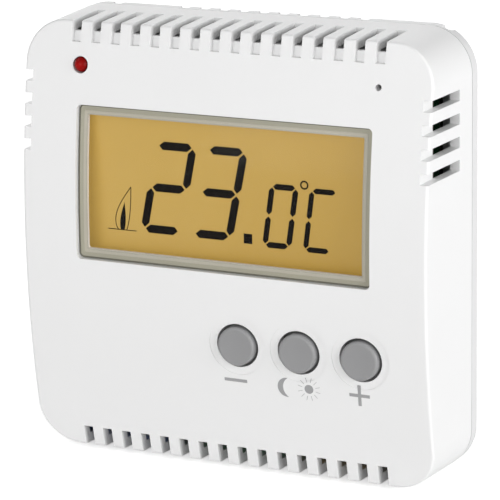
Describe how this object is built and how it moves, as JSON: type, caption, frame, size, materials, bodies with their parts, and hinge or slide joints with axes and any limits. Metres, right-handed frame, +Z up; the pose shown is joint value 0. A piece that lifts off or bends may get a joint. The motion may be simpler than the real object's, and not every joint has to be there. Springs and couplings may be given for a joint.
{
  "type": "wall thermostat",
  "caption": "Square white room thermostat with a bowed slotted cover, an amber display window and round push buttons, on a screw-fixed wall base.",
  "frame": {"origin": "centre of the face that lies on the wall", "axes": "+Y into the wall, +Z up, +X to the viewer's right; the front faces -Y"},
  "size_m": [0.085, 0.0226, 0.085],
  "materials": {
    "cover_plastic": "fine satin, white",
    "base_plastic": "fine satin, white",
    "clear_plastic": "clear polished polycarbonate",
    "lcd_glass": "glass with an amber backlit field",
    "amber_acrylic": "translucent amber",
    "black_plastic": "moulded black",
    "lamp_resin": "yellow resin",
    "contact_rubber": "striped silicone rubber",
    "circuit_board": "green lacquered laminate",
    "screw_steel": "zinc plated",
    "connector_plastic": "black",
    "relay_plastic": "blue",
    "capacitor_plastic": "yellow box",
    "capacitor_can": "bare can",
    "fuse_body": "lacquered",
    "varistor_coat": "blue epoxy",
    "chip_plastic": "moulded epoxy",
    "crystal_can": "drawn can",
    "bead_resin": "epoxy bead",
    "red_resin": "clear red epoxy",
    "terminal_plastic": "green",
    "contact_brass": "tinned brass",
    "clamp_steel": "plated steel",
    "button_plastic": "satin grey",
    "switch_body": "black"
  },
  "bodies": {
    "base": {"base_plate": "base_plastic", "power_board": "circuit_board", "power_board_screws": "screw_steel", "pin_header": "connector_plastic", "relay": "relay_plastic", "supply_capacitor": "capacitor_plastic", "filter_capacitor": "capacitor_can", "fuse": "fuse_body", "varistor": "varistor_coat", "rectifier": "chip_plastic", "voltage_regulator": "chip_plastic", "terminal_block": "terminal_plastic", "terminal_contacts": "contact_brass"},
    "front_unit": {"front_cover": "cover_plastic", "display_window": "clear_plastic", "lcd_panel": "lcd_glass", "light_guide": "amber_acrylic", "backlight_lamps": "lamp_resin", "lcd_holder": "black_plastic", "contact_strips": "contact_rubber", "main_board": "circuit_board", "main_board_screws": "screw_steel", "board_socket": "connector_plastic", "microcontroller": "chip_plastic", "crystal": "crystal_can", "memory_chip": "chip_plastic", "thermistor": "bead_resin", "minus_switch": "switch_body", "mode_switch": "switch_body", "plus_switch": "switch_body", "reset_switch": "switch_body", "indicator_led": "red_resin", "led_spacer": "black_plastic"},
    "minus_button": {"minus_button": "button_plastic", "minus_plunger": "black_plastic"},
    "mode_button": {"mode_button": "button_plastic", "mode_plunger": "black_plastic"},
    "plus_button": {"plus_button": "button_plastic", "plus_plunger": "black_plastic"},
    "reset_plunger": {"reset_plunger": "black_plastic"},
    "terminal_screw_1": {"terminal_screw_1": "screw_steel"},
    "terminal_clamp_1": {"terminal_clamp_1": "clamp_steel"},
    "terminal_screw_2": {"terminal_screw_2": "screw_steel"},
    "terminal_clamp_2": {"terminal_clamp_2": "clamp_steel"},
    "terminal_screw_3": {"terminal_screw_3": "screw_steel"},
    "terminal_clamp_3": {"terminal_clamp_3": "clamp_steel"},
    "terminal_screw_4": {"terminal_screw_4": "screw_steel"},
    "terminal_clamp_4": {"terminal_clamp_4": "clamp_steel"}
  },
  "joints": [
    {"name": "front_release", "type": "slide", "parent": "base", "child": "front_unit", "axis": [0, -1, 0], "range_m": [0, 0.03]},
    {"name": "minus_press", "type": "slide", "parent": "front_unit", "child": "minus_button", "axis": [0, 1, 0], "range_m": [0, 0.0004], "stiffness_N_per_m": 900, "springref_m": -0.0009},
    {"name": "mode_press", "type": "slide", "parent": "front_unit", "child": "mode_button", "axis": [0, 1, 0], "range_m": [0, 0.0004], "stiffness_N_per_m": 900, "springref_m": -0.0009},
    {"name": "plus_press", "type": "slide", "parent": "front_unit", "child": "plus_button", "axis": [0, 1, 0], "range_m": [0, 0.0004], "stiffness_N_per_m": 900, "springref_m": -0.0009},
    {"name": "reset_press", "type": "slide", "parent": "front_unit", "child": "reset_plunger", "axis": [0, 1, 0], "range_m": [0, 0.0003], "stiffness_N_per_m": 900, "springref_m": -0.0005},
    {"name": "terminal_rise_1", "type": "slide", "parent": "base", "child": "terminal_clamp_1", "axis": [0, -1, 0], "range_m": [0, 0.0015]},
    {"name": "terminal_turn_1", "type": "hinge", "parent": "base", "child": "terminal_screw_1", "pos_m": [-0.0075, -0.0134, -0.03325], "axis": [0, 1, 0], "range_deg": [0, 1200.5]},
    {"name": "terminal_rise_2", "type": "slide", "parent": "base", "child": "terminal_clamp_2", "axis": [0, -1, 0], "range_m": [0, 0.0015]},
    {"name": "terminal_turn_2", "type": "hinge", "parent": "base", "child": "terminal_screw_2", "pos_m": [-0.0025, -0.0134, -0.03325], "axis": [0, 1, 0], "range_deg": [0, 1200.5]},
    {"name": "terminal_rise_3", "type": "slide", "parent": "base", "child": "terminal_clamp_3", "axis": [0, -1, 0], "range_m": [0, 0.0015]},
    {"name": "terminal_turn_3", "type": "hinge", "parent": "base", "child": "terminal_screw_3", "pos_m": [0.0025, -0.0134, -0.03325], "axis": [0, 1, 0], "range_deg": [0, 1200.5]},
    {"name": "terminal_rise_4", "type": "slide", "parent": "base", "child": "terminal_clamp_4", "axis": [0, -1, 0], "range_m": [0, 0.0015]},
    {"name": "terminal_turn_4", "type": "hinge", "parent": "base", "child": "terminal_screw_4", "pos_m": [0.0075, -0.0134, -0.03325], "axis": [0, 1, 0], "range_deg": [0, 1200.5]}
  ],
  "couplings": [
    {"joint": "terminal_turn_1", "follows": "terminal_rise_1", "rad_per_m": 13963},
    {"joint": "terminal_turn_2", "follows": "terminal_rise_2", "rad_per_m": 13963},
    {"joint": "terminal_turn_3", "follows": "terminal_rise_3", "rad_per_m": 13963},
    {"joint": "terminal_turn_4", "follows": "terminal_rise_4", "rad_per_m": 13963}
  ]
}
